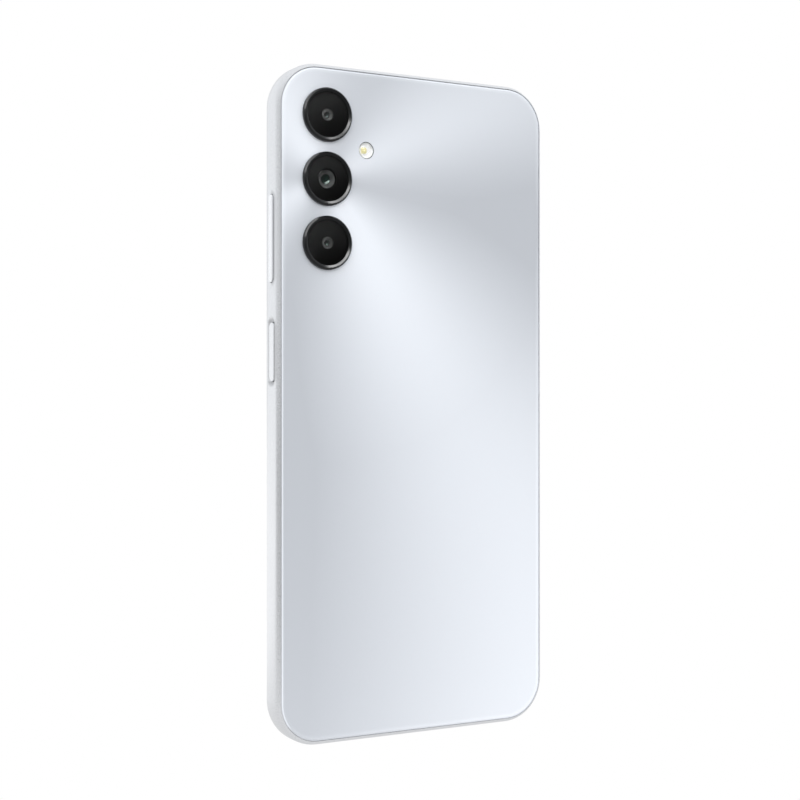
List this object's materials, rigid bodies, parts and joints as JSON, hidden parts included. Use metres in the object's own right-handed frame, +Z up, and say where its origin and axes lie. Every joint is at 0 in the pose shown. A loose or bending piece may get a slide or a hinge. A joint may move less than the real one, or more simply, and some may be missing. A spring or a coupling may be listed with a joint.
{
  "type": "smartphone",
  "caption": "Large-screen smartphone with a flat silver rear cover, a column of ringed rear cameras, a flash, side keys, a card tray and ports in its bottom edge.",
  "frame": {"origin": "middle of the side frame's bottom edge, where the phone stands upright", "axes": "+Z up the phone's height, towards the rear cameras; +Y out of the rear cover; -Y out of the screen; +X towards the side with the volume and power keys"},
  "size_m": [0.0782, 0.0099, 0.168],
  "materials": {
    "frame_silver": "satin metallic silver paint over moulded plastic",
    "cover_silver": "glossy pearl silver with a fan of brushed light and dark rays",
    "key_silver": "satin metallic silver paint",
    "ring_black": "polished black anodised metal",
    "lens_glass": "clear glass with black print round the lens windows",
    "front_glass": "polished cover glass over a black screen",
    "display_black": "glossy black panel",
    "backlight_white": "white reflector sheet in a metal tray",
    "chassis_alloy": "cast and milled light alloy",
    "tape_black": "black foam adhesive tape",
    "camera_black": "matt black moulding",
    "barrel_black": "satin black lens barrel with coated glass",
    "flash_lens": "milky clear plastic",
    "led_yellow": "yellow phosphor on a white package",
    "sensor_black": "black moulded sensor",
    "flex_amber": "amber polyimide film with copper traces",
    "sheet_steel": "stamped tinned sheet steel",
    "screw_steel": "dark zinc plated steel",
    "tray_silver": "satin silver painted tray",
    "seal_red": "red silicone rubber",
    "board_green": "solder mask over glass fibre board",
    "chip_black": "black epoxy chip package",
    "bracket_black": "black glass filled moulding with antenna traces",
    "battery_foil": "black film over a foil pouch",
    "diaphragm_film": "thin polymer film",
    "mesh_dark": "fine black woven steel mesh",
    "weight_alloy": "sintered heavy alloy",
    "coax_grey": "grey jacketed miniature coaxial cable"
  },
  "bodies": {
    "phone": {"side_frame": "frame_silver", "rear_cover": "cover_silver", "rear_cover_tape": "tape_black", "front_glass": "front_glass", "display_panel": "display_black", "backlight": "backlight_white", "display_tape": "tape_black", "display_flex": "flex_amber", "chassis_plate": "chassis_alloy", "front_camera_housing": "camera_black", "front_camera_lens": "barrel_black", "earpiece_grille": "mesh_dark", "earpiece_receiver": "camera_black", "lens_ring_upper": "ring_black", "lens_ring_middle": "ring_black", "lens_ring_lower": "ring_black", "lens_glasses": "lens_glass", "main_camera_housing": "camera_black", "depth_camera_housing": "camera_black", "macro_camera_housing": "camera_black", "small_camera_lenses": "barrel_black", "flash_lens": "flash_lens", "flash_led": "led_yellow", "side_key_flex": "flex_amber", "side_switches": "sheet_steel", "sim_reader_shell": "sheet_steel", "eject_lever_pin": "sheet_steel", "main_board": "board_green", "shield_cans": "sheet_steel", "board_chips": "chip_black", "upper_bracket": "bracket_black", "lower_bracket": "bracket_black", "bracket_screws": "screw_steel", "sub_board": "board_green", "main_flex": "flex_amber", "antenna_cable": "coax_grey", "battery": "battery_foil", "battery_tape": "tape_black", "battery_connector": "flex_amber", "speaker_box": "camera_black", "speaker_magnet": "sheet_steel", "speaker_mesh": "mesh_dark", "vibration_motor_can": "sheet_steel", "usb_c_shell": "sheet_steel", "usb_c_tongue": "camera_black", "audio_jack": "camera_black", "microphones": "sheet_steel"},
    "volume_rocker": {"volume_key": "key_silver"},
    "power_button": {"power_key": "key_silver", "fingerprint_sensor": "sensor_black"},
    "tray_pusher": {"eject_slider": "sheet_steel"},
    "card_tray": {"sim_tray": "tray_silver", "sim_tray_seal": "seal_red"},
    "ejector_lever": {"eject_lever": "sheet_steel"},
    "ejector_rod": {"eject_rod": "sheet_steel"},
    "motor_weight": {"vibration_weight": "weight_alloy"},
    "focus_barrel": {"main_camera_lens": "barrel_black"},
    "speaker_cone": {"speaker_diaphragm": "diaphragm_film"},
    "earpiece_cone": {"earpiece_diaphragm": "diaphragm_film"}
  },
  "joints": [
    {"name": "volume_rock", "type": "hinge", "parent": "phone", "child": "volume_rocker", "pos_m": [0.0353, 0.00073, 0.12455], "axis": [0, 1, 0], "range_deg": [-1.2, 1.2], "stiffness_Nm_per_rad": 0.3},
    {"name": "power_press", "type": "slide", "parent": "phone", "child": "power_button", "axis": [-1, 0, 0], "range_m": [0, 0.00025], "stiffness_N_per_m": 4000},
    {"name": "tray_eject", "type": "slide", "parent": "phone", "child": "tray_pusher", "axis": [-1, 0, 0], "range_m": [0, 0.002]},
    {"name": "lever_turn", "type": "hinge", "parent": "phone", "child": "ejector_lever", "pos_m": [-0.0018, 0.00073, 0.1444], "axis": [0, 1, 0], "range_deg": [0, 16.9]},
    {"name": "rod_push", "type": "slide", "parent": "phone", "child": "ejector_rod", "axis": [1, 0, 0], "range_m": [0, 0.00103]},
    {"name": "tray_pull", "type": "slide", "parent": "tray_pusher", "child": "card_tray", "axis": [-1, 0, 0], "range_m": [0, 0.034]},
    {"name": "motor_spin", "type": "hinge", "parent": "phone", "child": "motor_weight", "pos_m": [-0.029, 0, 0.01], "axis": [0, 1, 0], "continuous": true},
    {"name": "focus_slide", "type": "slide", "parent": "phone", "child": "focus_barrel", "axis": [0, 1, 0], "range_m": [0, 0.0003], "stiffness_N_per_m": 200},
    {"name": "speaker_stroke", "type": "slide", "parent": "phone", "child": "speaker_cone", "axis": [0, 1, 0], "range_m": [-0.0003, 0.0003], "stiffness_N_per_m": 1000},
    {"name": "earpiece_stroke", "type": "slide", "parent": "phone", "child": "earpiece_cone", "axis": [0, 1, 0], "range_m": [-0.00015, 0.00015], "stiffness_N_per_m": 500}
  ],
  "couplings": [
    {"joint": "lever_turn", "follows": "tray_eject", "rad_per_m": 147.06},
    {"joint": "rod_push", "follows": "tray_eject", "ratio": 0.51471}
  ]
}
